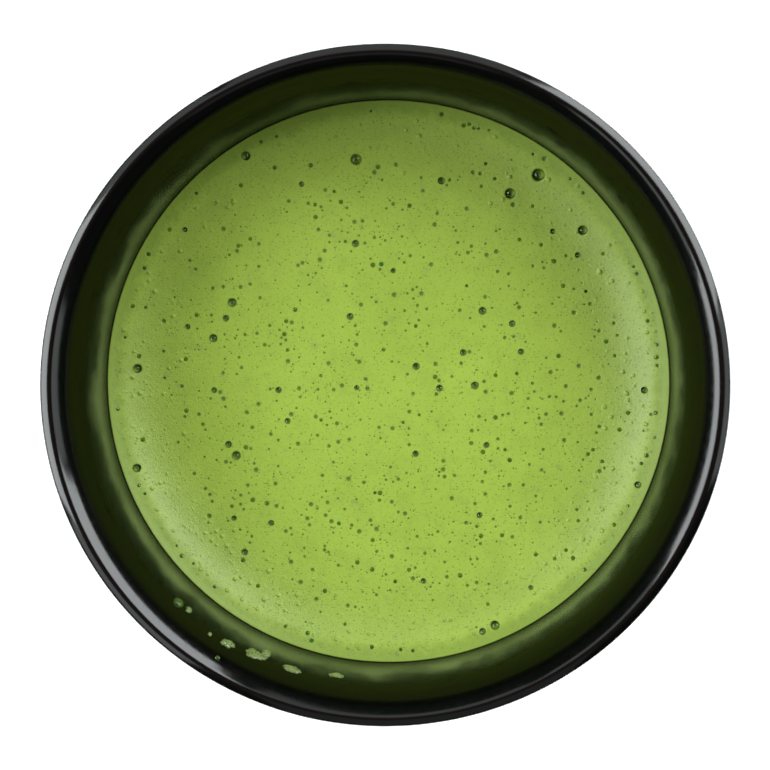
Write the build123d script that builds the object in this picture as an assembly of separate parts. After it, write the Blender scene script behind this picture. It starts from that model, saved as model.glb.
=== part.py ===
from build123d import *
import math
import os
import random

# A tea bowl (chawan) of black-glazed stoneware, filled with whisked powdered tea.
# Millimetres. +Z is up; the origin is on the bowl's axis, in the plane that its foot stands on.

# The finished bowl, glaze included. Its lip flares outwards.
rim_diameter = 120.0
height = 75.0
glaze_thickness = 0.6

# The lip: how far its crest stands inside the rim, the height of its outer shoulder, and the drop to its throat,
# where the inside wall begins.
lip_crest_inset = 1.3
lip_shoulder_drop = 0.8
throat_drop = 0.6

# The inside wall is a power curve, flat at the floor and steep at the tea, and a flare that fades downwards.
floor_height = 10.8
wall_power = 5.5
tea_line_height = 59.0
tea_line_radius = 51.1
flare_width = 4.4
flare_reach = 4.2

# Where the inside is followed by equal steps outwards, and above that by equal steps upwards.
steep_share = 0.9
low_steps = 9
high_spacing = 1.6

# The shallow pool in the floor.
pool_radius = 15.0
pool_depth = 0.8
pool_step = 2.5

# The foot ring, left bare of glaze, and the recess inside it with its small raised middle.
foot_diameter = 54.0
foot_ring_width = 5.0
foot_height = 5.6
foot_taper = 1.0
foot_edge = 0.8
foot_flare = (1.0, 0.8)
recess_height = 4.8
recess_corner = 1.2
recess_cone_radius = 2.5
recess_cone_drop = 0.9

# The outside above the foot, as radius and height: the line where the glaze ends, then the belly and the neck.
glaze_line = (31.6, 9.4)
glaze_line_slope = (1.0, 0.66)
outside_points = [(36.4, 12.8), (42.8, 19.2), (48.6, 29.5), (52.6, 43.0), (54.9, 56.0), (57.4, 66.0)]
inset_steps = 12

# The tea and the foam on it. The foam climbs the wall in a wide rise, and a narrow one where it wets the glaze.
tea_level = 56.5
foam_depth = 3.5
wide_rise = 1.6
wide_rise_reach = 5.0
wetting_rise = tea_line_height - tea_level - wide_rise
wetting_reach = 0.9

# Clearances that let the tea turn inside the bowl.
tea_clearance = 0.06
foam_clearance = 0.12
bubble_clearance = 0.01

# The wet film that whisking left on the wall above the foam.
film_thickness = 0.2
film_gap = 0.2
film_top = 69.6

# Large bubbles sit with their middle this share of their radius below the foam's surface. The others are
# domes whose edge is at this latitude of a sphere, lifted clear of the foam. Each keeps a gap from the next.
bubble_sink = 0.45
dome_edge_angle = 25
dome_lift = 0.02
slope_step = 0.1
bubble_gap = 0.2
random_seed = 11
large_radius = (0.45, 0.62)
large_count = 24
small_radius = (0.28, 0.44)
small_count = 90
scatter_reach = 46.8
edge_radius = (0.25, 0.42)
edge_count = 44
edge_band = (48.4, 49.7)

# The largest bubbles: distance from the axis, bearing in degrees, radius.
placed_bubbles = [
    (41, 98, 1.00), (46.6, 54, 1.10), (41, 57, 0.95), (45, 38, 0.85), (32, 153, 0.80),
    (33, 166, 0.75), (26, 103, 0.65), (21.7, 37, 0.70), (6, 29, 0.65), (16, -2, 0.70),
    (31, 206, 0.80), (48.7, 199, 0.75), (46, 177, 0.80), (48.6, 122, 0.80), (49.2, -22, 0.60),
    (48.6, -66, 0.80), (48.8, -69, 0.60), (38, 75, 0.65), (41, 230, 0.60), (25, 13, 0.55),
]

# Foam thrown on the wall: bearing, height, half width round the wall, half height up the wall.
foam_flecks = [
    (229.0, 67.8, 0.7, 0.9), (238.6, 69.0, 1.3, 1.2), (244.4, 68.0, 2.0, 1.4), (246.2, 66.0, 0.8, 1.5),
    (252.0, 68.0, 1.6, 1.2), (260.6, 66.3, 1.3, 0.8), (235.0, 69.6, 0.4, 0.5),
]
fleck_thickness = 0.45

# Clear drops of tea on the wall, given in the same way.
wall_drops = [(226.6, 68.4, 1.1, 1.2), (238.6, 73.0, 0.5, 0.4), (-31.0, 62.5, 0.4, 0.6)]
drop_thickness = 0.7

rim_radius = rim_diameter / 2
throat_height = height - throat_drop
wall_depth = tea_line_height - floor_height


def flare(z):
    """How far the lip's flare carries the inside outwards at a height."""
    return flare_width * math.exp((z - height) / flare_reach)


def wall_point(share, clearance=0.0):
    """A point of the inside, by its share of the tea line's radius, moved in by a clearance."""
    z = floor_height + clearance + wall_depth * share**wall_power
    return ((tea_line_radius - clearance) * share + flare(z), z)


def wall_direction(share):
    """The way the inside runs at that share, outwards and up."""
    z = wall_point(share)[1]
    rise = wall_depth * wall_power * share ** (wall_power - 1)
    return (tea_line_radius + flare(z) / flare_reach * rise, rise)


def wall_share(z, clearance=0.0):
    """The share of the tea line's radius at which the inside reaches a height."""
    return ((z - floor_height - clearance) / wall_depth) ** (1 / wall_power)


def wall_radius(z):
    """Radius of the inside at a height."""
    return wall_point(wall_share(z))[0]


contact_radius = wall_radius(tea_line_height) - foam_clearance


def foam_height(r):
    """Height of the foam's upper surface at a radius."""
    gap = contact_radius - r
    return tea_level + wide_rise * math.exp(-gap / wide_rise_reach) + wetting_rise * math.exp(-gap / wetting_reach)


def inside_curves(top, clearance=0.0):
    """The inside from the middle of the floor up to a height, with the soft step round the pool."""
    first = pool_radius / tea_line_radius
    last = wall_share(top, clearance)
    edge = wall_point(first, clearance)
    low = floor_height - pool_depth + clearance
    pool = Spline(
        [(0, low), (edge[0] - pool_step, edge[1] - pool_depth), edge],
        tangents=[(1, 0), wall_direction(first)],
    )
    low_shares = [first + (steep_share - first) * i / low_steps for i in range(low_steps)]
    foot_of_steep = wall_point(steep_share, clearance)[1]
    high_steps = round((top - foot_of_steep) / high_spacing)
    heights = [foot_of_steep + (top - foot_of_steep) * i / high_steps for i in range(high_steps)]
    shares = [*low_shares, *[wall_share(z, clearance) for z in heights], last]
    wall = Spline(
        [wall_point(share, clearance) for share in shares],
        tangents=[wall_direction(first), wall_direction(last)],
    )
    return [pool, wall]


def foot_curve():
    """Under the bowl: the recess with its raised middle, the foot ring, and the ring's outside."""
    foot = foot_diameter / 2
    ring_inside = foot - foot_ring_width
    return Polyline(
        (0, recess_height - recess_cone_drop), (recess_cone_radius, recess_height),
        (ring_inside - recess_corner, recess_height), (ring_inside, recess_height - recess_corner),
        (ring_inside, foot_edge), (ring_inside + foot_edge, 0), (foot - foot_edge, 0), (foot, foot_edge),
        (foot - foot_taper, foot_height),
    )


def bare_curve():
    """The outside from the foot up to the glaze line."""
    return Spline([foot_curve() @ 1, glaze_line], tangents=[foot_flare, glaze_line_slope])


def glazed_curves():
    """The surface of the glaze, from the glaze line up, over the lip and down the inside to the floor's middle."""
    shoulder = (rim_radius, height - lip_shoulder_drop)
    crest = (rim_radius - lip_crest_inset, height)
    pool, wall = inside_curves(throat_height)
    throat_way = wall_direction(wall_share(throat_height))
    outside = Spline([glaze_line, *outside_points, shoulder], tangents=[glaze_line_slope, (0, 1)])
    outer_lip = Spline([shoulder, crest], tangents=[(0, 1), (-1, 0)])
    inner_lip = Spline([crest, wall @ 1], tangents=[(-1, 0), (-throat_way[0], -throat_way[1])])
    return [outside, outer_lip, inner_lip, wall, pool]


def inset(curve, backwards):
    """A curve under the glaze's surface, from evenly spaced points moved in along the normal."""
    stations = [i / inset_steps for i in range(inset_steps + 1)]
    if backwards:
        stations.reverse()
    turn = -1 if backwards else 1
    points = []
    for station in stations:
        x, y, _ = curve @ station
        along = (curve % station) * turn
        points.append((x - along.Y * glaze_thickness, y + along.X * glaze_thickness))
    ends = [(curve % stations[0]) * turn, (curve % stations[-1]) * turn]
    return Spline(points, tangents=[(end.X, end.Y) for end in ends])


def clay_curves():
    """The surface of the clay under the glaze, in the same order as the glaze's surface."""
    backwards = [False, False, False, True, True]
    return [inset(curve, flip) for curve, flip in zip(glazed_curves(), backwards)]


def face_inside(curves):
    """The flat face bounded by curves that follow each other; each stays an edge of its own."""
    return Face(Wire([edge for curve in curves for edge in curve.edges()]))


def bowl_section():
    """Half section of the finished bowl, glaze included."""
    curves = glazed_curves()
    axis = Line(curves[-1] @ 0, foot_curve() @ 0)
    return face_inside([foot_curve(), bare_curve(), *curves, axis])


def clay_section():
    """Half section of the fired clay under the glaze."""
    curves = clay_curves()
    step = Line(glaze_line, curves[0] @ 0)
    axis = Line(curves[-1] @ 1, foot_curve() @ 0)
    return face_inside([foot_curve(), bare_curve(), step, *curves, axis])


def glaze_section():
    """Half section of the glaze, between the clay's surface and its own."""
    under = clay_curves()
    over = glazed_curves()
    step = Line(glaze_line, under[0] @ 0)
    middle = Line(under[-1] @ 1, over[-1] @ 0)
    return face_inside([step, *under, middle, *over])


def tea_section():
    """Half section of the liquid, from the floor up to the underside of the foam."""
    top = tea_level - foam_depth
    curves = inside_curves(top, tea_clearance)
    surface = Line(curves[-1] @ 1, (0, top))
    axis = Line((0, top), curves[0] @ 0)
    return face_inside([*curves, surface, axis])


def foam_section():
    """Half section of the raft of foam, with its edge drawn up the wall."""
    low = tea_level - foam_depth
    middle = (low + tea_line_height) / 2
    side = Spline([(wall_radius(z) - foam_clearance, z) for z in (low, middle, tea_line_height)])
    gaps = (0.0, 0.35, 0.8, 1.4, 2.4, 4.0, 7.0, 12.0, 20.0, 32.0)
    top_points = [(contact_radius - gap, foam_height(contact_radius - gap)) for gap in gaps]
    top = Spline([*top_points, (0, tea_level)])
    axis = Line((0, tea_level), (0, low))
    return face_inside([side, top, axis, Line((0, low), side @ 0)])


def film_strip_section():
    """Half section of a strip that lies on the inside wall and reaches into the glaze."""
    low = tea_line_height + film_gap
    steps = 8
    heights = [low + (film_top - low) * i / steps for i in range(steps + 1)]
    front = Spline([(wall_radius(z) - film_thickness, z) for z in heights])
    back = Spline([(wall_radius(z) + glaze_thickness / 2, z) for z in reversed(heights)])
    return face_inside([front, Line(front @ 1, back @ 0), back, Line(back @ 1, front @ 0)])


def turned(section):
    """The solid of revolution of a half section drawn as radius and height."""
    return revolve(Plane.XZ * section, Axis.Z)


def polar(radius, bearing, z):
    """A point at a distance from the axis, a bearing in degrees and a height."""
    angle = math.radians(bearing)
    return (radius * math.cos(angle), radius * math.sin(angle), z)


def seat_bubble(distance, bearing, radius):
    """Where a bubble meets the foam's surface, its distance from the axis, bearing and radius."""
    return (polar(distance, bearing, foam_height(distance)), distance, bearing, radius)


def scatter(rng, count, inner, outer, sizes, taken):
    """Bubbles spread evenly over a ring of foam, clear of those already there."""
    made = []
    while len(made) < count:
        distance = math.sqrt(rng.uniform(inner**2, outer**2))
        bubble = seat_bubble(distance, rng.uniform(0, 360), rng.uniform(*sizes))
        clear = all(math.dist(bubble[0], b[0]) > bubble[-1] + b[-1] + bubble_gap for b in taken + made)
        if clear:
            made.append(bubble)
    return made


def bubble_groups():
    """The large, small and edge bubbles."""
    rng = random.Random(random_seed)
    large = [seat_bubble(*bubble) for bubble in placed_bubbles]
    large += scatter(rng, large_count, 0, scatter_reach, large_radius, large)
    small = scatter(rng, small_count, 0, scatter_reach, small_radius, large)
    edge = scatter(rng, edge_count, *edge_band, edge_radius, large + small)
    return {"large_bubbles": large, "small_bubbles": small, "edge_bubbles": edge}


def ball(bubble, grow=0.0):
    """A round bubble that floats more than half sunk in the foam, grown by a margin."""
    (x, y, z), _, _, radius = bubble
    return Pos(x, y, z - bubble_sink * radius) * Sphere(radius + grow)


def dome(bubble):
    """A bubble that shows as a low dome on the foam, square to the slope of its surface."""
    seat, distance, bearing, radius = bubble
    slope = foam_height(distance + slope_step) - foam_height(distance - slope_step)
    lean = math.atan(slope / (2 * slope_step))
    up = polar(-math.sin(lean), bearing, math.cos(lean))
    across = polar(1, bearing + 90, 0)
    whole = radius / math.cos(math.radians(dome_edge_angle))
    cap = Sphere(whole, dome_edge_angle, 90, align=(Align.CENTER, Align.CENTER, Align.MIN))
    return Plane(origin=seat, x_dir=across, z_dir=up) * Pos(0, 0, dome_lift) * cap


def wall_patch(bearing, z, half_width, half_height, thickness, wall):
    """A flat rounded lump lying on the inside wall."""
    way_out, way_up = wall_direction(wall_share(z))
    steep = math.hypot(way_out, way_up)
    face_out = polar(-way_up / steep, bearing, way_out / steep)
    round_wall = polar(1, bearing + 90, 0)
    seat = Plane(origin=polar(wall_radius(z) - film_thickness, bearing, z), x_dir=round_wall, z_dir=face_out)
    lump = seat * scale(Sphere(1), by=(half_width, half_height, thickness))
    return max((lump - wall).solids(), key=lambda solid: solid.volume)


def wall_patches(places, thickness, wall):
    """Lumps at several places on the wall; those that touch are one solid."""
    joined = Part() + [wall_patch(*place, thickness, wall) for place in places]
    return joined.solids()


def save(node, solids):
    """One file for each node, holding one solid or a group of them."""
    body = Compound(label=node, children=[Solid(s.wrapped) for s in solids])
    export_step(body, f"parts/{node}.step")


os.makedirs("parts", exist_ok=True)

clay = turned(clay_section())
glaze = turned(glaze_section())
film = turned(film_strip_section()) - turned(bowl_section())
groups = bubble_groups()
foam = turned(foam_section()) - [ball(bubble, bubble_clearance) for bubble in groups["large_bubbles"]]
wall = [film, glaze, clay]

save("stoneware_body", clay.solids())
save("black_glaze", glaze.solids())
save("tea_liquid", turned(tea_section()).solids())
save("foam_layer", foam.solids())
save("large_bubbles", [ball(bubble).solid() for bubble in groups["large_bubbles"]])
save("small_bubbles", [dome(bubble).solid() for bubble in groups["small_bubbles"]])
save("edge_bubbles", [dome(bubble).solid() for bubble in groups["edge_bubbles"]])
save("wall_film", film.solids())
save("foam_splashes", wall_patches(foam_flecks, fleck_thickness, wall))
save("tea_drops", wall_patches(wall_drops, drop_thickness, wall))
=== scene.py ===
import math
import random

import bpy
from mathutils import Matrix, Vector, noise
from mathutils.geometry import delaunay_2d_cdt


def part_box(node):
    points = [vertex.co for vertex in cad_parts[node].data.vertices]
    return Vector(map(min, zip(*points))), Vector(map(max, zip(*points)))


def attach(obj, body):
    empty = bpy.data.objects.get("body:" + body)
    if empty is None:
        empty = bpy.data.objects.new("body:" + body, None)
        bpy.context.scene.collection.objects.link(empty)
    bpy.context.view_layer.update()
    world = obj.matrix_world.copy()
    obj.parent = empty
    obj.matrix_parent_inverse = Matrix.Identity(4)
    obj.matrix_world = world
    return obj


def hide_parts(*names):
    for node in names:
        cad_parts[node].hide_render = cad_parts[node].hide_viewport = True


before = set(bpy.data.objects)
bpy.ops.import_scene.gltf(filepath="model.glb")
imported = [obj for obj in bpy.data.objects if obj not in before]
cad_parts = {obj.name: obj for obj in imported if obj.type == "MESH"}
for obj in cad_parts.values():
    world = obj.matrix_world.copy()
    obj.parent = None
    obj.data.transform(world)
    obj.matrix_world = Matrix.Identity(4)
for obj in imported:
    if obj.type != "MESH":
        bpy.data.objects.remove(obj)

# Everything is in metres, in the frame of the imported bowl: +Z up, the origin under the foot, on the axis.
MM = 0.001
TURN = 2 * math.pi
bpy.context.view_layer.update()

# ---------------------------------------------------------------------------------------------------------
# Sizes, read from the frame, and the few that shape the bowl's section.

glaze_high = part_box("black_glaze")[1]
clay_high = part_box("stoneware_body")[1]
foam_low, foam_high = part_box("foam_layer")
film_low, film_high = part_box("wall_film")

rim_radius = glaze_high.x
height = glaze_high.z
glaze_thickness = rim_radius - clay_high.x
crest_inset = 1.5 * MM
shoulder_drop = 0.8 * MM
throat_drop = 0.6 * MM

floor_height = 10.8 * MM
wall_power = 5.5
contact_height = foam_high.z
flare_width = 4.4 * MM
flare_reach = 4.2 * MM
foam_gap = 0.12 * MM
contact_radius = foam_high.x
flare_at_tea = flare_width * math.exp((contact_height - height) / flare_reach)
tea_line_radius = contact_radius + foam_gap - flare_at_tea
pool_radius = 15.0 * MM
pool_depth = 0.8 * MM

foam_bottom = foam_low.z
foam_depth = 3.0 * MM
tea_level = foam_bottom + foam_depth
wide_rise = 2.1 * MM
wide_reach = 6.0 * MM
wetting_rise = contact_height - tea_level - wide_rise
wetting_reach = 0.9 * MM

around_steps = 280


def flare(z):
    """How far the lip's flare carries the inside outwards at a height."""
    return flare_width * math.exp((z - height) / flare_reach)


def wall_radius(z):
    """Radius of the glazed inside at a height above the floor."""
    share = max(z - floor_height, 0) / (contact_height - floor_height)
    return tea_line_radius * share ** (1 / wall_power) + flare(z)


def wall_height(r):
    """Height of the glazed inside at a radius well below the lip."""
    return floor_height + (contact_height - floor_height) * (r / tea_line_radius) ** wall_power


def foam_height(r):
    """Height of the foam's upper surface at a radius, before its bubbles."""
    gap = contact_radius - r
    wide = wide_rise * math.exp(-gap / wide_reach)
    wetting = wetting_rise * math.exp(-gap / wetting_reach)
    return tea_level + wide + wetting


def foam_slope(r):
    """How steeply the foam's surface climbs outwards at a radius."""
    step = 0.05 * MM
    return (foam_height(r + step) - foam_height(r - step)) / (2 * step)


def bezier(start, lead, tail, end, steps):
    """Points on a cubic curve, without its last one."""
    points = []
    for i in range(steps):
        t = i / steps
        a, b, c, d = (1 - t) ** 3, 3 * t * (1 - t) ** 2, 3 * t * t * (1 - t), t**3
        points.append(tuple(a * start[k] + b * lead[k] + c * tail[k] + d * end[k] for k in (0, 1)))
    return points


def curve_through(points, steps):
    """Points on a smooth curve through the given ones (Catmull-Rom), without the last."""
    padded = [points[0], *points, points[-1]]
    made = []
    for p, q, r, s in zip(padded, padded[1:], padded[2:], padded[3:]):
        lead = (q[0] + (r[0] - p[0]) / 6, q[1] + (r[1] - p[1]) / 6)
        tail = (r[0] - (s[0] - q[0]) / 6, r[1] - (s[1] - q[1]) / 6)
        made += bezier(q, lead, tail, r, steps)
    return made


# ---------------------------------------------------------------------------------------------------------
# The bowl's section, as radius and height.

glaze_line = (31.6 * MM, 9.4 * MM)
outside_points = [(x * MM, z * MM) for x, z in
                  [(36.4, 12.8), (42.8, 19.2), (48.6, 29.5), (52.6, 43.0), (54.9, 56.0), (57.4, 66.0)]]
crest = (rim_radius - crest_inset, height)
shoulder = (rim_radius, height - shoulder_drop)
throat = (wall_radius(height - throat_drop), height - throat_drop)
crest_handle = 0.35 * MM
shoulder_handle = 0.14 * MM
throat_handle = 0.3 * MM
lip_steps = 14
flare_bottom = 60 * MM
turn_height = 40 * MM


def outside_curve():
    """The glazed outside, from the glaze line to the lip's outer shoulder."""
    return curve_through([glaze_line, *outside_points, shoulder], 10)


def lip_curve():
    """Over the lip, from its outer shoulder to the throat."""
    outer = bezier(
        shoulder,
        (shoulder[0], shoulder[1] + shoulder_handle),
        (crest[0] + crest_handle, height),
        crest, lip_steps,
    )
    step = 0.1 * MM
    way = Vector((throat[0] - wall_radius(throat[1] - step), step)).normalized() * throat_handle
    inner = bezier(
        crest,
        (crest[0] - crest_handle, height),
        (throat[0] + way.x, throat[1] + way.y),
        throat, lip_steps,
    )
    return outer + inner


def inside_curve():
    """Down the inside, from the throat to the middle of the pool in the floor."""
    points = []
    flare_step, wall_step, floor_step = 0.5 * MM, 1.5 * MM, 1.6 * MM
    z = throat[1]
    while z > turn_height:
        points.append((wall_radius(z), z))
        z -= flare_step if z > flare_bottom else wall_step
    r = wall_radius(z)
    while r > pool_radius:
        points.append((r, wall_height(r)))
        r -= floor_step
    handle = 1.2 * MM
    edge = (pool_radius, wall_height(pool_radius))
    foot = (pool_radius - 2.5 * MM, edge[1] - pool_depth)
    points += bezier(edge, (edge[0] - handle, edge[1]), (foot[0] + handle, foot[1]), foot, 8)
    points += [(foot[0] * (1 - i / 5), foot[1]) for i in range(6)]
    return points


def moved_in(points, distance):
    """The same line of points, moved to its left by a distance."""
    made = []
    for i, (r, z) in enumerate(points):
        before = points[max(i - 1, 0)]
        after = points[min(i + 1, len(points) - 1)]
        run = Vector((after[0] - before[0], after[1] - before[1])).normalized()
        made.append((max(r - run.y * distance, 0), z + run.x * distance))
    made[-1] = (0, made[-1][1])
    return made


# ---------------------------------------------------------------------------------------------------------
# Mesh helpers.

def new_piece(name, verts, faces, body, node):
    """A smooth-shaded mesh that rides a body and stands for a CAD node."""
    mesh = bpy.data.meshes.new(name)
    mesh.from_pydata(verts, [], faces)
    mesh.validate()
    mesh.polygons.foreach_set("use_smooth", [True] * len(mesh.polygons))
    mesh.update()
    piece = bpy.data.objects.new(name, mesh)
    bpy.context.scene.collection.objects.link(piece)
    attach(piece, body)
    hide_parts(node)
    return piece


def on_circle(r, angle, x=0.0, y=0.0):
    """A point on a circle round x and y."""
    return (x + r * math.cos(angle), y + r * math.sin(angle))


def ring_faces(rings, steps):
    """Faces between rings of vertices that follow each other. A ring of one vertex is a tip."""
    faces = []
    for low, high in zip(rings, rings[1:]):
        for i in range(steps):
            j = (i + 1) % steps
            if len(low) > 1 and len(high) > 1:
                faces.append((low[i], low[j], high[j], high[i]))
            elif len(high) > 1:
                faces.append((low[0], high[j], high[i]))
            elif len(low) > 1:
                faces.append((low[i], low[j], high[0]))
    return faces


def lathe(section, closed, shape):
    """Vertices and faces of a turned section, each point moved by shape. One on the axis is one vertex."""
    verts, rings = [], []
    for r, z in section:
        ring = []
        on_axis = r < 0.0001 * MM
        for i in range(1 if on_axis else around_steps):
            angle = TURN * i / around_steps
            moved_r, moved_z = shape(r, z, angle)
            ring.append(len(verts))
            verts.append((*on_circle(moved_r, angle), moved_z))
        rings.append(ring)
    return verts, ring_faces(rings + rings[:1] if closed else rings, around_steps)


def smooth_step(low, high, x):
    """0 below low, 1 above high, and a smooth rise between."""
    t = min(max((x - low) / (high - low), 0), 1)
    return t * t * (3 - 2 * t)


def ring_noise(angle, size, seed):
    """Smooth noise round a circle: size is how many waves it has, seed picks another one."""
    return noise.noise(Vector((size * math.cos(angle), size * math.sin(angle), seed)))


# ---------------------------------------------------------------------------------------------------------
# The bowl: fired clay and glaze.

out_of_round = 0.0054
long_axis = math.radians(8)
oval_heights = (62 * MM, height - 2 * MM)
oval_radii = (56.5 * MM, 59.8 * MM)
oval_inside = 0.3
ripple = 0.07 * MM
ripple_pitch = 5.2 * MM
ripple_start = (10 * MM, 16 * MM)
ripple_end = (66 * MM, 71 * MM)
swell = 0.12 * MM
heel_height = 20 * MM
heel_radius = 44 * MM
wall_margin = 1.5 * MM
floor_margin = 2.2 * MM
run_of_glaze = 1.3 * MM
run_offset = 0.25 * MM
run_slope = 0.72
run_reach = 7.6 * MM
run_radius = 30 * MM
bead = [(-0.62 * MM, 0.22 * MM), (-0.42 * MM, -0.02 * MM)]

foot_radius = 27.0 * MM
ring_inside = 22.0 * MM
ring_round = 0.8 * MM
ring_handle = 0.3 * MM
recess_height = 4.8 * MM
recess_round = 1.2 * MM
recess_handle = 0.5 * MM
button_radius = 2.5 * MM
button_drop = 0.9 * MM
waist_height = 5.6 * MM
waist_inset = 1.0 * MM
foot_steps = 5
trimmed_height = 9.5 * MM
groove_reach = 21.0 * MM
groove_pitch = 1.1 * MM
groove_depth = 0.05 * MM
chatter_depth = 0.03 * MM


def ovality(r, z, angle):
    """How much wider than a true circle the bowl is at a bearing: not at the tea, most outside the rim."""
    high = smooth_step(*oval_heights, z)
    outer = oval_inside + (1 - oval_inside) * smooth_step(*oval_radii, r)
    return 1 + out_of_round * high * outer * math.cos(2 * (angle - long_axis))


def thrown(r, z, angle):
    """The unevenness of a bowl thrown by hand: finger ripples outside and a rim slightly out of round."""
    r *= ovality(r, z, angle)
    if z > heel_height:
        inside = r < wall_radius(z) + wall_margin
    else:
        inside = z > wall_height(min(r, heel_radius)) - floor_margin
    if inside:
        return r, z
    fade = smooth_step(*ripple_start, z) * (1 - smooth_step(*ripple_end, z))
    spiral = math.sin(TURN * z / ripple_pitch + angle)
    return r + fade * (ripple * spiral + swell * ring_noise(angle, 1.1, 40 * z)), z


def glaze_edge(r, z, angle):
    """Lets the glaze's lower edge run down in places, on top of the throwing marks."""
    near = 1 - smooth_step(glaze_line[1], glaze_line[1] + run_reach, z)
    if near > 0 and r > run_radius:
        waves = ring_noise(angle, 1.6, 3.1) + 0.5 * ring_noise(angle, 5.0, 8.2)
        run = run_of_glaze * waves + run_offset
        z -= near * run * run_slope
        r -= near * run
    return thrown(r, z, angle)


def make_glaze():
    """The glaze, a closed skin over the clay, with a rolled lower edge."""
    over = outside_curve() + lip_curve() + inside_curve()
    under = moved_in(over, glaze_thickness)
    rolled = [(over[0][0] + r, over[0][1] + z) for r, z in bead]
    verts, faces = lathe(rolled + over + under[::-1], True, glaze_edge)
    return new_piece("glaze_skin", verts, faces, "bowl", "black_glaze")


def trimmed(r, z, angle):
    """Turning marks of the trimming tool on the foot and in its recess."""
    if z >= trimmed_height:
        return r, z
    chatter = chatter_depth * ring_noise(angle, 9, 600 * z)
    in_recess = r < groove_reach and z > 3 * MM
    groove = groove_depth * math.sin(TURN * r / groove_pitch + angle) if in_recess else 0
    return r + chatter, z + groove


def recess_curve():
    """Under the foot, from the small button in the middle to the resting face."""
    flat_start, flat_step = 3.4 * MM, 0.55 * MM
    points = [
        (0, recess_height - button_drop),
        (0.48 * button_radius, recess_height - 0.55 * MM),
        (button_radius, recess_height),
    ]
    points += [(flat_start + i * flat_step, recess_height) for i in range(32)]
    points += bezier(
        (ring_inside - recess_round, recess_height),
        (ring_inside - recess_handle, recess_height),
        (ring_inside, recess_height - recess_handle),
        (ring_inside, recess_height - recess_round), foot_steps,
    )
    points += [(ring_inside, recess_height - recess_round), (ring_inside, 1.6 * ring_round)]
    points += bezier(
        (ring_inside, ring_round),
        (ring_inside, ring_handle),
        (ring_inside + ring_handle, 0),
        (ring_inside + ring_round, 0), foot_steps,
    )
    return points


def foot_curve():
    """From the resting face round the foot's outside and its waist to the glaze line."""
    first, last = ring_inside + ring_round, foot_radius - ring_round
    points = [(first + (last - first) * i / 6, 0) for i in range(6)]
    points += bezier(
        (last, 0),
        (foot_radius - ring_handle, 0),
        (foot_radius, ring_handle),
        (foot_radius, ring_round), foot_steps,
    )
    waist = (foot_radius - waist_inset, waist_height)
    for i in range(foot_steps):
        share = i / foot_steps
        points.append((foot_radius - waist_inset * share, ring_round + (waist_height - ring_round) * share))
    points += bezier(waist, (foot_radius - 0.2 * MM, 6.3 * MM), (30.2 * MM, 8.5 * MM), glaze_line, 8)
    return points


def make_clay():
    """The fired clay: foot, recess and bare band in full, and the body hidden under the glaze."""
    over = outside_curve() + lip_curve() + inside_curve()
    hidden = moved_in(over, glaze_thickness)
    verts, faces = lathe(recess_curve() + foot_curve() + hidden[1:], False, trimmed)
    return new_piece("clay_body", verts, faces, "bowl", "stoneware_body")


# ---------------------------------------------------------------------------------------------------------
# Bubbles: places and sizes come from the CAD nodes, and finer ones are added at random.

def islands(node):
    """Centre and half width of each separate solid in a CAD node."""
    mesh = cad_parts[node].data
    parent = list(range(len(mesh.vertices)))

    def root(i):
        while parent[i] != i:
            parent[i] = parent[parent[i]]
            i = parent[i]
        return i

    same_place = {}
    for vertex in mesh.vertices:
        key = tuple(round(x * 1e7) for x in vertex.co)
        parent[root(vertex.index)] = root(same_place.setdefault(key, vertex.index))
    for edge in mesh.edges:
        a, b = edge.vertices
        parent[root(a)] = root(b)
    groups = {}
    for vertex in mesh.vertices:
        groups.setdefault(root(vertex.index), []).append(vertex.co)
    found = []
    for points in groups.values():
        low = Vector([min(p[k] for p in points) for k in range(3)])
        high = Vector([max(p[k] for p in points) for k in range(3)])
        found.append(((low + high) / 2, (high.x - low.x + high.y - low.y) / 4))
    return sorted(found, key=lambda item: (round(item[0].x, 6), round(item[0].y, 6)))


bubble_sink = 0.45
large = islands("large_bubbles")
small = islands("small_bubbles")
edge = islands("edge_bubbles")
rng = random.Random(5)
pit_count = 1500
pit_sizes = (0.12 * MM, 0.44 * MM)
pit_skew = 2.6
pit_margin = 1.4 * MM
pit_spacing = 1.15
pit_hollow = 0.3
raised_hollow = -0.34
raised_share = 0.95
raised_gaps = (16 * MM, 6 * MM)


def scatter_pits(taken):
    """Fine pits, many tiny and few wide, denser towards -Y. Near the wall most are raised bubbles."""
    cell = 1.2 * MM
    grid = {}

    def cell_of(x, y):
        return (int(x // cell), int(y // cell))

    for x, y, r, _ in taken:
        grid.setdefault(cell_of(x, y), []).append((x, y, r))
    made = []
    while len(made) < pit_count:
        distance = (contact_radius - pit_margin) * math.sqrt(rng.random())
        x, y = on_circle(distance, rng.random() * TURN)
        r = pit_sizes[0] + (pit_sizes[1] - pit_sizes[0]) * rng.random() ** pit_skew
        raised = rng.random() < raised_share * smooth_step(*raised_gaps, contact_radius - distance)
        if rng.random() > 0.68 - 0.32 * y / contact_radius:
            continue
        cx, cy = cell_of(x, y)
        near = [b for i in (-1, 0, 1) for j in (-1, 0, 1) for b in grid.get((cx + i, cy + j), [])]
        if all(math.hypot(x - bx, y - by) > pit_spacing * (r + br) for bx, by, br in near):
            made.append((x, y, r, raised_hollow if raised else pit_hollow))
            grid.setdefault((cx, cy), []).append((x, y, r))
    return made


# ---------------------------------------------------------------------------------------------------------
# The foam: one closed raft whose top carries every pit, triangulated finely only where it needs it.

rim_points = 576
inner_points = 480
rim_gaps = (0.1, 0.25, 0.45, 0.7, 1.0, 1.35, 1.75, 2.2)
grid_step = 0.56 * MM
row_pitch = 0.866
side_rows = 6
grain_height = 0.022 * MM
wave_height = 0.06 * MM
cap_edge = math.radians(20)


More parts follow.
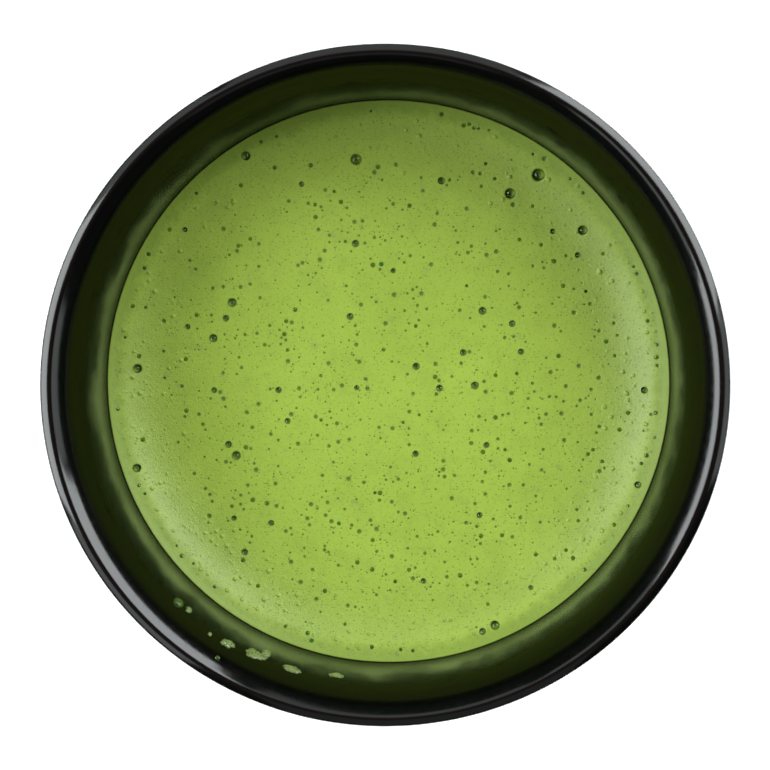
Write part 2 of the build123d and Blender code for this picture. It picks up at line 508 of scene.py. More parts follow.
def rings_for(r):
    """Radii of the rings of points round a pit, as shares of its radius, and how many points each has."""
    if r < 0.2 * MM:
        return (0.55, 0.95, 1.35), 7
    if r < 0.45 * MM:
        return (0.4, 0.75, 0.95, 1.08, 1.4), 10
    return (0.25, 0.5, 0.72, 0.87, 0.96, 1.03, 1.15, 1.45), 20


def pit_depth(share, r, hollow):
    """Depth of a pit, or height of a bubble just under the surface, at a share of its radius."""
    if share < 1:
        return hollow * r * math.sqrt(1 - share * share)
    return -0.04 * r * math.exp(-((share - 1.12) / 0.12) ** 2)


def pit_finder(pits):
    """Makes the function that finds the pit closest to a point, as a share of its radius."""
    cell = 1.6 * MM
    grid = {}
    for pit in pits:
        grid.setdefault((int(pit[0] // cell), int(pit[1] // cell)), []).append(pit)

    def nearest(x, y):
        cx, cy = int(x // cell), int(y // cell)
        best = (9, None)
        for i in (-1, 0, 1):
            for j in (-1, 0, 1):
                for pit in grid.get((cx + i, cy + j), []):
                    share = math.hypot(x - pit[0], y - pit[1]) / pit[2]
                    if share < best[0]:
                        best = (share, pit)
        return best

    return nearest


def rim_rings(nearest):
    """Points on the raft's rim and on close rings inside it, clear of the pits."""
    points = [on_circle(contact_radius, TURN * i / rim_points) for i in range(rim_points)]
    for k, gap in enumerate(rim_gaps):
        count = rim_points if k < 4 else inner_points
        for i in range(count):
            point = on_circle(contact_radius - gap * MM, TURN * (i + 0.5 * (k % 2)) / count)
            if nearest(*point)[0] > 1.4:
                points.append(point)
    return points


def open_grid(nearest):
    """A slightly uneven triangular grid of points over the middle, clear of the pits."""
    points = []
    rows = int(contact_radius / (grid_step * row_pitch)) + 1
    for row in range(-rows, rows + 1):
        for column in range(-rows, rows + 1):
            x = (column + 0.5 * (row % 2)) * grid_step + rng.uniform(-0.15, 0.15) * grid_step
            y = row * grid_step * row_pitch + rng.uniform(-0.15, 0.15) * grid_step
            if math.hypot(x, y) < contact_radius - 2.5 * MM and nearest(x, y)[0] > 1.45:
                points.append((x, y))
    return points


def pit_rings(pits, nearest):
    """Points in and round every pit, except where a neighbour is closer."""
    points = []
    for pit in pits:
        x, y, r, _ = pit
        shares, count = rings_for(r)
        points.append((x, y))
        for k, share in enumerate(shares):
            for i in range(count):
                point = on_circle(share * r, TURN * (i + 0.5 * (k % 2)) / count, x, y)
                if math.hypot(*point) < contact_radius - 0.05 * MM and nearest(*point)[1] == pit:
                    points.append(point)
    return points


def foam_point(x, y, nearest):
    """Height of the foam at a point, with pits and unevenness, and how much the point is in a pit, which
    darkens its colour.
    """
    r = math.hypot(x, y)
    z = foam_height(min(r, contact_radius))
    share, pit = nearest(x, y)
    inside = 0.0
    if pit and r < contact_radius - 0.06 * MM:
        z -= pit_depth(share, pit[2], pit[3])
        # How dark a pit is painted: the dark tea under the bubble skins, and painted shade in the hollow.
        # Round raised bubbles it is a painted shade ring at their foot.
        strength = 0.8 - 0.15 * smooth_step(0.4 * MM, 1.0 * MM, pit[2])
        if pit[3] < 0:
            strength *= 0.5 * smooth_step(0.2, 1.0, share)
        inside = (1 - smooth_step(0.86, 1.12, share)) * strength
    fade = smooth_step(0, 1.2 * MM, contact_radius - r)
    z += fade * grain_height * noise.noise(Vector((x, y, 0)) * 1400)
    z += fade * wave_height * noise.noise(Vector((x, y, 0.3)) * 160)
    return z, inside


def close_raft(verts, faces):
    """Adds the raft's side, down along the wall, and its flat underside."""
    edge_gap = contact_radius - 0.004 * MM
    rim = [i for i, v in enumerate(verts) if math.hypot(v[0], v[1]) > edge_gap]
    previous = sorted(rim, key=lambda i: math.atan2(verts[i][1], verts[i][0]))
    angles = [math.atan2(verts[i][1], verts[i][0]) for i in previous]
    count = len(previous)
    for row in range(1, side_rows + 1):
        z = contact_height - (contact_height - foam_bottom) * row / side_rows
        r = wall_radius(z) - foam_gap
        ring = list(range(len(verts), len(verts) + count))
        verts += [(*on_circle(r, angle), z) for angle in angles]
        for i in range(count):
            j = (i + 1) % count
            faces.append((previous[i], ring[i], ring[j], previous[j]))
        previous = ring
    middle = len(verts)
    verts.append((0, 0, foam_bottom))
    faces += [(previous[i], middle, previous[(i + 1) % count]) for i in range(count)]


def make_foam(pits):
    """The raft of foam: pits, fine unevenness, drawn-up edge, side and underside."""
    nearest = pit_finder(pits)
    points = rim_rings(nearest) + open_grid(nearest) + pit_rings(pits, nearest)
    in_millimetres = [Vector((x / MM, y / MM)) for x, y in points]
    loop = [(i, (i + 1) % rim_points) for i in range(rim_points)]
    flat, _, triangles, _, _, _ = delaunay_2d_cdt(in_millimetres, loop, [], 0, 1e-5)
    verts, depth = [], []
    for point in flat:
        x, y = point.x * MM, point.y * MM
        z, inside = foam_point(x, y, nearest)
        verts.append((x, y, z))
        depth.append(inside)
    faces = [tuple(triangle) for triangle in triangles]
    close_raft(verts, faces)
    depth += [0.0] * (len(verts) - len(depth))
    piece = new_piece("foam_raft", verts, faces, "tea", "foam_layer")
    # The pit attribute darkens the foam's colour: the tea under bubble skins, and painted shade in the
    # hollows.
    attribute = piece.data.attributes.new("pit", "FLOAT", "POINT")
    attribute.data.foreach_set("value", depth)
    return piece


def skin_arc(r, low_cap):
    """Radius of a skin, height of its centre over its seat, and the angle at which it starts."""
    if low_cap:
        whole = 0.98 * r / math.sin(cap_edge)
        return whole, -whole * math.cos(cap_edge) - 0.01 * MM, math.pi / 2 - cap_edge
    return 0.985 * r, -bubble_sink * r, -math.pi / 2


def make_skins(name, bubbles, node, low_cap):
    """Thin round skins: whole balls that float half sunk, or low caps flush with the foam."""
    verts, faces = [], []
    across, up = (20, 6) if low_cap else (32, 18)
    for centre, r in bubbles:
        distance = math.hypot(centre.x, centre.y)
        seat = Vector((centre.x, centre.y, foam_height(distance)))
        lean = Vector((centre.x, centre.y, 0)).normalized() * foam_slope(distance)
        upright = Vector((0, 0, 1)).rotation_difference(Vector((-lean.x, -lean.y, 1)).normalized())
        whole, middle, start = skin_arc(r, low_cap)
        rings = []
        for k in range(up + 1):
            lift = start + (math.pi / 2 - start) * k / up
            alone = k == up or (k == 0 and not low_cap)
            round_part = 0 if alone else whole * math.cos(lift)
            ring = []
            for i in range(1 if alone else across):
                point = Vector((*on_circle(round_part, TURN * i / across), middle + whole * math.sin(lift)))
                ring.append(len(verts))
                verts.append(upright @ point + seat)
            rings.append(ring)
        if low_cap:
            faces.append(tuple(rings[0][::-1]))
        faces += ring_faces(rings, across)
    return new_piece(name, verts, faces, "tea", node)


# ---------------------------------------------------------------------------------------------------------
# On the wall: the wet film, thrown foam and drops.

film_steps = 22
film_around = 480
film_thickness = 0.15 * MM
film_feather = 0.02 * MM
film_sink = 0.03 * MM
lump_rings = 9
lump_around = 40
lump_back = 0.05 * MM
lump_sink = 0.01 * MM
wall_slant = 0.86


def film_edge(angle):
    """Height of the film's ragged upper edge at a bearing."""
    wave = 0.9 * ring_noise(angle, 1.3, 5.5)
    wave += 0.45 * ring_noise(angle, 4.2, 2.2)
    wave += 0.16 * ring_noise(angle, 16, 7)
    return film_high.z - 1.8 * MM + 1.2 * MM * wave


def film_point(front, share, angle):
    """A point on the film's front or back, a share of the way up to its edge."""
    z = film_low.z + (film_edge(angle) - film_low.z) * share
    r = wall_radius(z)
    r *= ovality(r, z, angle)
    r -= film_thickness * (1 - share**3) + film_feather if front else -film_sink
    return (*on_circle(r, angle), z)


def make_film():
    """The wet film: a thin closed skin on the wall that feathers out at a wavy upper edge."""
    section = [(True, i / film_steps) for i in range(film_steps + 1)]
    section += [(False, 1 - i / film_steps) for i in range(film_steps + 1)]
    verts, rings = [], []
    for front, share in section:
        rings.append(list(range(len(verts), len(verts) + film_around)))
        verts += [film_point(front, share, TURN * i / film_around) for i in range(film_around)]
    faces = []
    for low, high in zip(rings, rings[1:] + rings[:1]):
        for i in range(film_around):
            j = (i + 1) % film_around
            faces.append((low[i], high[i], high[j], low[j]))
    film = new_piece("wet_film", verts, faces, "bowl", "wall_film")
    film.visible_shadow = False
    return film


def on_wall(bearing, z, across, up, lift):
    """A point lifted off the glazed wall, across and up from a place on it."""
    level = z + up * wall_slant
    r = wall_radius(level)
    r *= ovality(r, level, bearing)
    step = 0.05 * MM
    lean = math.atan((wall_radius(level + step) - wall_radius(level - step)) / (2 * step))
    angle = bearing + across / r
    r -= lift * math.cos(lean)
    return (*on_circle(r, angle), level + lift * math.sin(lean))


def lump_points(front, bearing, z, half_width, half_height, thickness, seed, ragged):
    """Points on one side of a lump: its middle, then rings out to an uneven outline."""
    points = [on_wall(bearing, z, 0, 0, thickness if front else -lump_back)]
    for k in range(1, lump_rings + 1):
        share = k / lump_rings
        dome = thickness * math.sqrt(max(1 - share**2.4, 0))
        for i in range(lump_around):
            turn = TURN * i / lump_around
            wobble = ring_noise(turn, 1.3, seed) + 0.5 * ring_noise(turn, 3.5, seed + 4)
            reach = share * (1 + ragged * wobble)
            lift = dome * (1 + 0.25 * ring_noise(turn, 4 * share, seed)) if front else -lump_back
            across, up = reach * half_width * math.cos(turn), reach * half_height * math.sin(turn)
            points.append(on_wall(bearing, z, across, up, lift - lump_sink))
    return points


def wall_lump(verts, faces, *shape):
    """Adds one lump lying on the wall: a rounded face, an uneven outline and a flat back."""
    rims = []
    for front in (True, False):
        first = len(verts)
        verts += lump_points(front, *shape)
        for i in range(lump_around):
            j = (i + 1) % lump_around
            face = (first, first + 1 + i, first + 1 + j)
            faces.append(face if front else face[::-1])
            for k in range(lump_rings - 1):
                a = first + 1 + k * lump_around
                b = a + lump_around
                face = (a + i, b + i, b + j, a + j)
                faces.append(face if front else face[::-1])
        rims.append(first + 1 + (lump_rings - 1) * lump_around)
    front_rim, back_rim = rims
    for i in range(lump_around):
        j = (i + 1) % lump_around
        faces.append((front_rim + i, back_rim + i, back_rim + j, front_rim + j))


# Places on the wall: bearing in degrees, then height, half width and half height in millimetres.
foam_flecks = [
    (229.0, 67.8, 0.7, 0.9), (238.6, 69.0, 1.3, 1.2), (244.4, 68.0, 2.0, 1.4), (246.2, 66.0, 0.8, 1.5),
    (252.0, 68.0, 1.6, 1.2), (260.6, 66.3, 1.3, 0.8), (235.0, 69.6, 0.4, 0.5),
]
wall_drops = [(226.6, 68.4, 1.1, 1.2), (238.6, 73.0, 0.5, 0.4), (-31.0, 62.5, 0.4, 0.6)]


def make_lumps(name, places, thickness, ragged, node):
    """Lumps of foam or drops of tea at several places on the wall, as one piece."""
    verts, faces = [], []
    for k, (bearing, z, half_width, half_height) in enumerate(places):
        thick = thickness * min(1, 0.4 + 0.6 * min(half_width, half_height))
        wall_lump(verts, faces, math.radians(bearing), z * MM, half_width * MM, half_height * MM,
                  thick, 3.7 * k + 1, ragged)
    return new_piece(name, verts, faces, "bowl", node)


# ---------------------------------------------------------------------------------------------------------
# Materials.

def material(name):
    """A new node material: its tree and its main shader."""
    made = bpy.data.materials.new(name)
    made.use_nodes = True
    return made, made.node_tree, made.node_tree.nodes["Principled BSDF"]


def link(tree, source, target):
    """Joins an output to an input."""
    tree.links.new(source, target)


def put(tree, kind, settings=None, inputs=None):
    """Adds a node, with settings as attributes and inputs as values or links."""
    made = tree.nodes.new(kind)
    for key, value in (settings or {}).items():
        setattr(made, key, value)
    for key, value in (inputs or {}).items():
        if isinstance(value, bpy.types.NodeSocket):
            tree.links.new(value, made.inputs[key])
        else:
            made.inputs[key].default_value = value
    return made


def place(tree):
    """The point's place in its piece's own frame, in metres."""
    return put(tree, "ShaderNodeTexCoord").outputs["Object"]


def mix_colour(tree, share, first, second):
    """A share of the way from the first colour to the second."""
    return put(tree, "ShaderNodeMix", {"data_type": "RGBA"}, {0: share, 6: first, 7: second}).outputs[2]


def ramp(tree, value, low, high, start=0.0, end=1.0):
    """Maps low..high to start..end, smoothly and clamped."""
    made = put(tree, "ShaderNodeMapRange", {"interpolation_type": "SMOOTHSTEP"},
               {"Value": value, "From Min": low, "From Max": high, "To Min": start, "To Max": end})
    return made.outputs["Result"]


def maths(tree, operation, a, b=0.0):
    """An operation on one value or two."""
    return put(tree, "ShaderNodeMath", {"operation": operation}, {0: a, 1: b}).outputs[0]


def wander(tree, noise_value, reach):
    """Noise as a distance, up to half the reach either way."""
    return maths(tree, "MULTIPLY", maths(tree, "SUBTRACT", noise_value, 0.5), reach)


def noise_at(tree, where, scale, detail=2.0, roughness=0.5):
    """Soft noise: scale is how many waves a metre has."""
    return put(tree, "ShaderNodeTexNoise", None,
               {"Vector": where, "Scale": scale, "Detail": detail, "Roughness": roughness}).outputs["Fac"]


def cells_at(tree, where, scale):
    """Round cells: scale is how many a metre has."""
    return put(tree, "ShaderNodeTexVoronoi", None, {"Vector": where, "Scale": scale})


def dots(tree, where, scale, channel, sizes, chances):
    """Dots in some cells: sizes is where a dot fades out, chances says which cells have one."""
    cells = cells_at(tree, where, scale)
    drawn = put(tree, "ShaderNodeSeparateColor", None, {"Color": cells.outputs["Color"]}).outputs[channel]
    dot = ramp(tree, cells.outputs["Distance"], *sizes, 1.0, 0.0)
    return maths(tree, "MULTIPLY", dot, ramp(tree, drawn, *chances))


def bump(tree, height_value, distance, strength=1.0, normal=None):
    """A normal tilted by a height, on top of another normal if one is given."""
    inputs = {"Height": height_value, "Distance": distance, "Strength": strength}
    if normal:
        inputs["Normal"] = normal
    return put(tree, "ShaderNodeBump", None, inputs).outputs["Normal"]


def radius_and_height(tree, where):
    """Distance from the bowl's axis and height, as two values."""
    parts = put(tree, "ShaderNodeSeparateXYZ", None, {"Vector": where})
    flat = put(tree, "ShaderNodeCombineXYZ", None, {"X": parts.outputs["X"], "Y": parts.outputs["Y"]})
    length = put(tree, "ShaderNodeVectorMath", {"operation": "LENGTH"}, {0: flat.outputs[0]})
    return length.outputs["Value"], parts.outputs["Z"]


def glaze_material():
    """Black satin glaze: faint orange peel, and iron brown where it thins on the crest and below."""
    made, tree, shader = material("black_satin_glaze")
    where = place(tree)
    _, z = radius_and_height(tree, where)
    mottle = noise_at(tree, where, 180, 4)
    base = mix_colour(tree, mottle, (0.0008, 0.0011, 0.0007, 1), (0.0018, 0.0022, 0.0015, 1))
    thin = ramp(tree, z, height - 0.14 * MM, height - 0.01 * MM)
    edge_low = ramp(tree, z, 12.5 * MM, 8.4 * MM)
    broken = mix_colour(tree, maths(tree, "MULTIPLY", thin, 0.7), base, (0.009, 0.0055, 0.0045, 1))
    colour = mix_colour(tree, maths(tree, "MULTIPLY", edge_low, mottle), broken, (0.03, 0.014, 0.008, 1))
    link(tree, colour, shader.inputs["Base Color"])
    link(tree, ramp(tree, noise_at(tree, where, 900, 3), 0.3, 0.7, 0.10, 0.14), shader.inputs["Roughness"])
    peel = bump(tree, noise_at(tree, where, 900, 2), 0.012 * MM, 0.05)
    link(tree, peel, shader.inputs["Normal"])
    shader.inputs["IOR"].default_value = 1.5
    link(tree, ramp(tree, z, 71.5 * MM, 73.0 * MM, 0.33, 0.5), shader.inputs["Specular IOR Level"])
    return made


def clay_material():
    """Bare iron-rich stoneware: dark brown, gritty, with dark specks."""
    made, tree, shader = material("bare_iron_stoneware")
    where = place(tree)
    tone = noise_at(tree, where, 120, 5)
    base = mix_colour(tree, tone, (0.055, 0.03, 0.019, 1), (0.12, 0.068, 0.042, 1))
    specks = ramp(tree, cells_at(tree, where, 900).outputs["Distance"], 0.10, 0.2)
    link(tree, mix_colour(tree, specks, (0.018, 0.012, 0.01, 1), base), shader.inputs["Base Color"])
    link(tree, ramp(tree, tone, 0.3, 0.7, 0.72, 0.9), shader.inputs["Roughness"])
    grit = bump(tree, noise_at(tree, where, 2600, 4, 0.7), 0.06 * MM, 0.6)
    link(tree, bump(tree, specks, 0.05 * MM, 0.5, grit), shader.inputs["Normal"])
    return made


# The finest domes of the foam lean inwards near the wall, and catch the light as if the foam rose more.
lean_rise = 7.0 * MM
lean_reach = 10.0 * MM
grain_scale = 3400
foam_light = (0.375, 0.538, 0.052, 1)
foam_deep = (0.30, 0.445, 0.034, 1)


def foam_colour(tree, where, r, near_wall):
    """Warm green with patches, dark dots and pale grain, with painted shade in a band along the wall and a
    painted shadow where it meets the wall.
    """
    drift = noise_at(tree, where, 38, 3)
    base = mix_colour(tree, ramp(tree, drift, 0.3, 0.7, 0.25, 0.9), foam_deep, foam_light)
    patch = noise_at(tree, where, 260, 3, 0.6)
    base = mix_colour(tree, ramp(tree, patch, 0.42, 0.75, 0.0, 0.35), base, (0.24, 0.36, 0.03, 1))
    popped = ramp(tree, noise_at(tree, where, 420, 2), 0.66, 0.76, 0.0, 0.35)
    base = mix_colour(tree, popped, base, (0.20, 0.27, 0.09, 1))
    flecks = dots(tree, where, grain_scale, 0, (0.28, 0.52), (0.66, 0.9))
    base = mix_colour(tree, maths(tree, "MULTIPLY", flecks, 0.5), base, (0.12, 0.21, 0.015, 1))
    specks = dots(tree, where, 2100, 1, (0.16, 0.40), (0.5, 0.95))
    base = mix_colour(tree, maths(tree, "MULTIPLY", specks, 0.85), base, (0.085, 0.17, 0.010, 1))
    fine = cells_at(tree, where, 7000).outputs["Distance"]
    base = mix_colour(tree, ramp(tree, fine, 0.2, 0.7, 0.0, 0.16), base, (0.55, 0.66, 0.14, 1))
    # Painted shade: the foam is darker in a band along the wall.
    base = mix_colour(tree, maths(tree, "MULTIPLY", near_wall, 0.7), base, (0.16, 0.235, 0.03, 1))
    # Painted shadow: a thin dark line where the foam meets the wall.
    contact = ramp(tree, r, contact_radius - 0.14 * MM, contact_radius)
    return mix_colour(tree, maths(tree, "MULTIPLY", contact, 0.85), base, (0.03, 0.045, 0.008, 1))


def foam_grain(tree, where):
    """The foam's fine relief, as a normal."""
    froth = bump(tree, cells_at(tree, where, grain_scale).outputs["Distance"], 0.05 * MM, 0.5)
    froth = bump(tree, noise_at(tree, where, 5200, 2), 0.02 * MM, 0.5, froth)
    return bump(tree, cells_at(tree, where, 1500).outputs["Distance"], 0.05 * MM, 0.35, froth)


def foam_gloss(tree, near_wall, pit):
    """How wet the foam looks: least near the wall, less when seen aslant, and not at all in pits."""
    gloss = maths(tree, "SUBTRACT", 0.85, maths(tree, "MULTIPLY", near_wall, 0.72))
    aslant = put(tree, "ShaderNodeLayerWeight", None, {"Blend": 0.5}).outputs["Facing"]
    gloss = maths(tree, "MULTIPLY", gloss, ramp(tree, aslant, 0.15, 0.5, 1, 0.25))
    return maths(tree, "MULTIPLY", gloss, ramp(tree, pit, 0, 0.35, 1, 0))


def foam_material():
    """Whisked foam, dark in its pits from the tea under the skins and from painted shade. Its reflection in
    the glaze is painted darker and has no gloss.
    """
    made, tree, shader = material("whisked_foam")
    where = place(tree)
    r, _ = radius_and_height(tree, where)
    ragged = maths(tree, "ADD", r, wander(tree, noise_at(tree, where, 600, 3), 2.2 * MM))
    near_wall = ramp(tree, ragged, contact_radius - 3.6 * MM, contact_radius - 0.7 * MM)
    pit = put(tree, "ShaderNodeAttribute", {"attribute_name": "pit"}).outputs["Fac"]
    # Darker in pits: the tea under the bubble skins, and painted shade in the hollows.
    base = mix_colour(tree, pit, foam_colour(tree, where, r, near_wall), (0.055, 0.115, 0.002, 1))
    rays = put(tree, "ShaderNodeLightPath").outputs
    seen, mirrored = rays["Is Camera Ray"], rays["Is Glossy Ray"]
    # Painted shade in the reflection: seen in the glaze's mirror, the foam's colour is painted darker.
    base = mix_colour(tree, maths(tree, "MULTIPLY", mirrored, 0.38), base, (0, 0, 0, 1))
    link(tree, base, shader.inputs["Base Color"])
    link(tree, maths(tree, "MULTIPLY", seen, 0.4), shader.inputs["Specular IOR Level"])
    shader.inputs["Roughness"].default_value = 0.5
    grain = foam_grain(tree, where)
    link(tree, grain, shader.inputs["Normal"])
    gap = maths(tree, "DIVIDE", maths(tree, "SUBTRACT", r, contact_radius), lean_reach)
    climb = maths(tree, "MULTIPLY", maths(tree, "EXPONENT", gap), lean_rise)
    link(tree, bump(tree, climb, 1, 1, grain), shader.inputs["Coat Normal"])
    gloss = foam_gloss(tree, near_wall, pit)
    link(tree, maths(tree, "MULTIPLY", gloss, seen), shader.inputs["Coat Weight"])
    shader.inputs["Coat Roughness"].default_value = 0.42
    shader.inputs["Coat IOR"].default_value = 1.5
    return made


def splash_material():
    """Foam that has run thin on the wall: pale green, half clear, with tiny dark bubbles and a wet skin."""
    made, tree, shader = material("thin_foam_on_glaze")
    where = place(tree)
    tone = noise_at(tree, where, 700, 3)
    base = mix_colour(tree, tone, (0.13, 0.19, 0.05, 1), (0.27, 0.35, 0.12, 1))
    bubbles = ramp(tree, cells_at(tree, where, 2300).outputs["Distance"], 0.14, 0.34)
    link(tree, mix_colour(tree, bubbles, (0.02, 0.05, 0.01, 1), base), shader.inputs["Base Color"])
    link(tree, ramp(tree, bubbles, 0, 1, 0.45, 0.8), shader.inputs["Alpha"])
    shader.inputs["Roughness"].default_value = 0.28
    shader.inputs["Coat Weight"].default_value = 0.4
    shader.inputs["Coat Roughness"].default_value = 0.08
    link(tree, bump(tree, bubbles, 0.05 * MM, 0.5), shader.inputs["Normal"])
    return made


def liquid_material():
    """The tea below the foam: deep green, cloudy with powder, wet."""
    made, tree, shader = material("cloudy_green_tea")
    where = place(tree)
    cloud = noise_at(tree, where, 70, 5, 0.6)
    colour = mix_colour(tree, cloud, (0.05, 0.09, 0.006, 1), (0.12, 0.19, 0.015, 1))
    link(tree, colour, shader.inputs["Base Color"])
    link(tree, ramp(tree, cloud, 0.3, 0.7, 0.06, 0.16), shader.inputs["Roughness"])
    shader.inputs["IOR"].default_value = 1.33
    return made


def skin_material():
    """Thin bubble skin: clear, with a bright cool reflection that shifts in hue where the skin is thin."""
    made, tree, shader = material("clear_bubble_skin")
    where = place(tree)
    hue = noise_at(tree, where, 500, 1)
    tint = mix_colour(tree, ramp(tree, hue, 0.3, 0.5), (0.35, 0.8, 1.0, 1), (0.85, 0.97, 0.85, 1))
    gloss = put(tree, "ShaderNodeBsdfGlossy", None, {"Color": tint, "Roughness": 0.06})
    clear = put(tree, "ShaderNodeBsdfTransparent", None, {"Color": (0.93, 0.97, 0.88, 1)})
    facing = put(tree, "ShaderNodeFresnel", None, {"IOR": 1.42}).outputs[0]
    strength = ramp(tree, facing, 0.0, 1.0, 0.03, 0.8)
    both = put(tree, "ShaderNodeMixShader", None, {0: strength, 1: clear.outputs[0], 2: gloss.outputs[0]})
    link(tree, both.outputs[0], tree.nodes["Material Output"].inputs["Surface"])
    tree.nodes.remove(shader)
    return made


def film_material():
    """The wet film: pale foam left just above the tea, its paleness partly a painted reflection of the
    foam, with a ragged edge, and dark wet tea above it.
    """
    made, tree, shader = material("wet_tea_film")
    where = place(tree)
    _, z = radius_and_height(tree, where)
    level = maths(tree, "ADD", z, wander(tree, noise_at(tree, where, 95, 4, 0.6), 9.0 * MM))
    stretch = put(tree, "ShaderNodeMapping", None, {"Vector": where, "Scale": (1, 1, 0.3)}).outputs[0]
    streak = noise_at(tree, stretch, 110, 3, 0.5)
    # Pale green low on the wall: partly foam left on the wall, partly a painted reflection of the foam in
    # the wet glaze.
    pale = mix_colour(tree, streak, (0.12, 0.17, 0.045, 1), (0.31, 0.40, 0.145, 1))
    share = ramp(tree, level, contact_height + 3.2 * MM, contact_height + 9.0 * MM)
    link(tree, mix_colour(tree, share, pale, (0.02, 0.033, 0.018, 1)), shader.inputs["Base Color"])
    lower = ramp(tree, z, contact_height, contact_height + 4.5 * MM, 0.04, 0.45)
    upper = ramp(tree, z, film_high.z - 3.0 * MM, film_high.z - 0.8 * MM, 1, 0)
    body = maths(tree, "MULTIPLY", ramp(tree, share, 0, 1, 1, 0.4), upper)
    link(tree, maths(tree, "MULTIPLY", lower, body), shader.inputs["Alpha"])
    shader.inputs["Roughness"].default_value = 0.3
    shader.inputs["IOR"].default_value = 1.1
    return made


def drop_material():
    """A clear drop of tea: dark green glassy body with sharp highlights."""
    made, tree, shader = material("clear_tea_drop")
    where = place(tree)
    tone = noise_at(tree, where, 900, 2)
    colour = mix_colour(tree, tone, (0.03, 0.07, 0.01, 1), (0.10, 0.17, 0.03, 1))
    link(tree, colour, shader.inputs["Base Color"])
    shader.inputs["Roughness"].default_value = 0.05
    shader.inputs["IOR"].default_value = 1.36
    shader.inputs["Coat Weight"].default_value = 0.6
    shader.inputs["Coat Roughness"].default_value = 0.03
    shader.inputs["Alpha"].default_value = 0.72
    return made


def dress(piece, made):
    """Gives a piece one material."""
    piece.data.materials.clear()
    piece.data.materials.append(made)


# ---------------------------------------------------------------------------------------------------------
# Build the pieces.

def flat_circles(bubbles):
    """The pit under each bubble, as x, y, radius and hollow: shallower under small bubbles."""
    return [(centre.x, centre.y, r, 0.4 if r < 0.45 * MM else 0.8) for centre, r in bubbles]


seen_bubbles = flat_circles(large) + flat_circles(small) + flat_circles(edge)
pits = seen_bubbles + scatter_pits(seen_bubbles)

dress(make_clay(), clay_material())
dress(make_glaze(), glaze_material())
dress(make_foam(pits), foam_material())
skin = skin_material()
dress(make_skins("bubble_balls", large, "large_bubbles", False), skin)
dress(make_skins("bubble_domes", small, "small_bubbles", True), skin)
dress(make_skins("wall_side_bubbles", edge, "edge_bubbles", True), skin)
dress(make_film(), film_material())
dress(make_lumps("thrown_foam", foam_flecks, 0.42 * MM, 0.5, "foam_splashes"),
      splash_material())
dress(make_lumps("clinging_drops", wall_drops, 0.62 * MM, 0.12, "tea_drops"), drop_material())
dress(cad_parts["tea_liquid"], liquid_material())

# ---------------------------------------------------------------------------------------------------------
# Stage: pale table, soft boxes, surroundings and camera.

box_distance = 1.0


def make_floor():
    """A pale table that glows a little, as white product tables lit from below do."""
    half = 1.6
    mesh = bpy.data.meshes.new("table")
    corners = [(-half, -half, 0), (half, -half, 0), (half, half, 0), (-half, half, 0)]
    mesh.from_pydata(corners, [], [(0, 1, 2, 3)])
    table = bpy.data.objects.new("table", mesh)
    bpy.context.scene.collection.objects.link(table)
    made, tree, shader = material("pale_table")
    shader.inputs["Base Color"].default_value = (0.9, 0.9, 0.9, 1)
    shader.inputs["Roughness"].default_value = 0.8
    shader.inputs["Emission Color"].default_value = (1, 1, 1, 1)
    seen = put(tree, "ShaderNodeLightPath").outputs["Is Camera Ray"]
    link(tree, ramp(tree, seen, 0, 1, 0.08, 0.75), shader.inputs["Emission Strength"])
    mesh.materials.append(made)


def direction(bearing, elevation):
    """The way to a bearing and an elevation, both in degrees."""
    b, e = math.radians(bearing), math.radians(elevation)
    return Vector((math.cos(e) * math.cos(b), math.cos(e) * math.sin(b), math.sin(e)))


def soft_box(name, bearing, elevation, width, depth, power):
    """A large soft light that faces the bowl."""
    light = bpy.data.lights.new(name, "AREA")
    light.shape = "RECTANGLE"
    light.size, light.size_y = width, depth
    light.energy = power
    light.color = (0.95, 0.99, 1.0)
    target = Vector((0, 0, height))
    box = bpy.data.objects.new(name, light)
    box.location = target + box_distance * direction(bearing, elevation)
    box.rotation_euler = (target - box.location).to_track_quat("-Z", "Y").to_euler()
    bpy.context.scene.collection.objects.link(box)
    return box


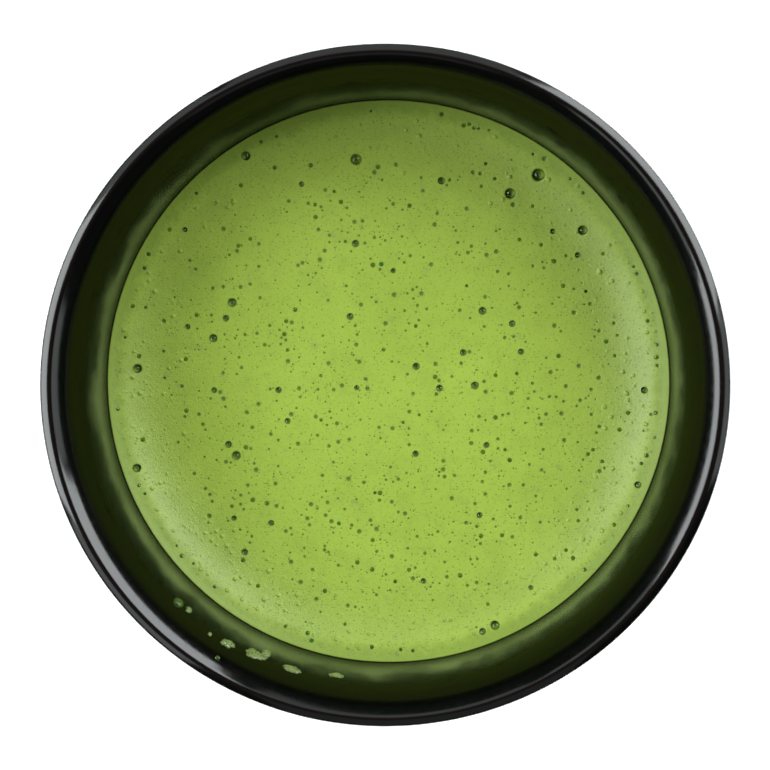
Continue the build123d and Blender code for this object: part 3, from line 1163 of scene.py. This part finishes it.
def make_surroundings():
    """A dim studio that reads as white behind the bowl."""
    world = bpy.data.worlds.new("studio")
    bpy.context.scene.world = world
    world.use_nodes = True
    tree = world.node_tree
    seen = put(tree, "ShaderNodeLightPath").outputs["Is Camera Ray"]
    colour = mix_colour(tree, seen, (0.036, 0.038, 0.04, 1), (1, 1, 1, 1))
    link(tree, colour, tree.nodes["Background"].inputs["Color"])


def make_camera():
    """Looks down into the bowl from just off its axis."""
    lens, sensor = 100, 36
    rim_share = 0.8935
    aim = Vector((0.43 * MM, 0.51 * MM, height - shoulder_drop))
    distance = 2 * rim_radius * lens / sensor / rim_share
    tilt, bearing = 4.22, 48.4
    back = direction(bearing, 90 - tilt)
    camera = bpy.data.cameras.new("camera")
    camera.lens = lens
    camera.sensor_width = sensor
    camera.clip_start = 0.01
    camera.clip_end = 20
    eye = bpy.data.objects.new("camera", camera)
    eye.location = aim + distance * back
    right = Vector((0, 1, 0)).cross(back).normalized()
    eye.rotation_mode = "QUATERNION"
    eye.rotation_quaternion = Matrix((right, back.cross(right), back)).transposed().to_quaternion()
    bpy.context.scene.collection.objects.link(eye)
    focus = bpy.data.objects.new("focus", None)
    focus.location = (0, 0, tea_level)
    bpy.context.scene.collection.objects.link(focus)
    camera.dof.use_dof = True
    camera.dof.focus_object = focus
    camera.dof.aperture_fstop = 18
    bpy.context.scene.camera = eye


make_floor()
soft_box("left_box", 178, 27, 0.85, 0.58, 11.0)
soft_box("right_box", 38, 27, 0.85, 0.58, 11.0)
soft_box("left_shoulder", 139, 26, 0.5, 0.45, 0.8)
soft_box("left_wing", 220, 25, 0.5, 0.4, 1.0)
soft_box("right_wing", -4, 25, 0.5, 0.4, 1.0)
soft_box("far_fill", 95, 27, 0.9, 0.58, 1.5)
soft_box("near_fill", 275, 27, 0.9, 0.58, 0.4)
soft_box("far_glow", 95, 30, 0.9, 0.4, 2.6).visible_glossy = False
make_surroundings()
make_camera()
bpy.context.scene.view_settings.view_transform = "Standard"
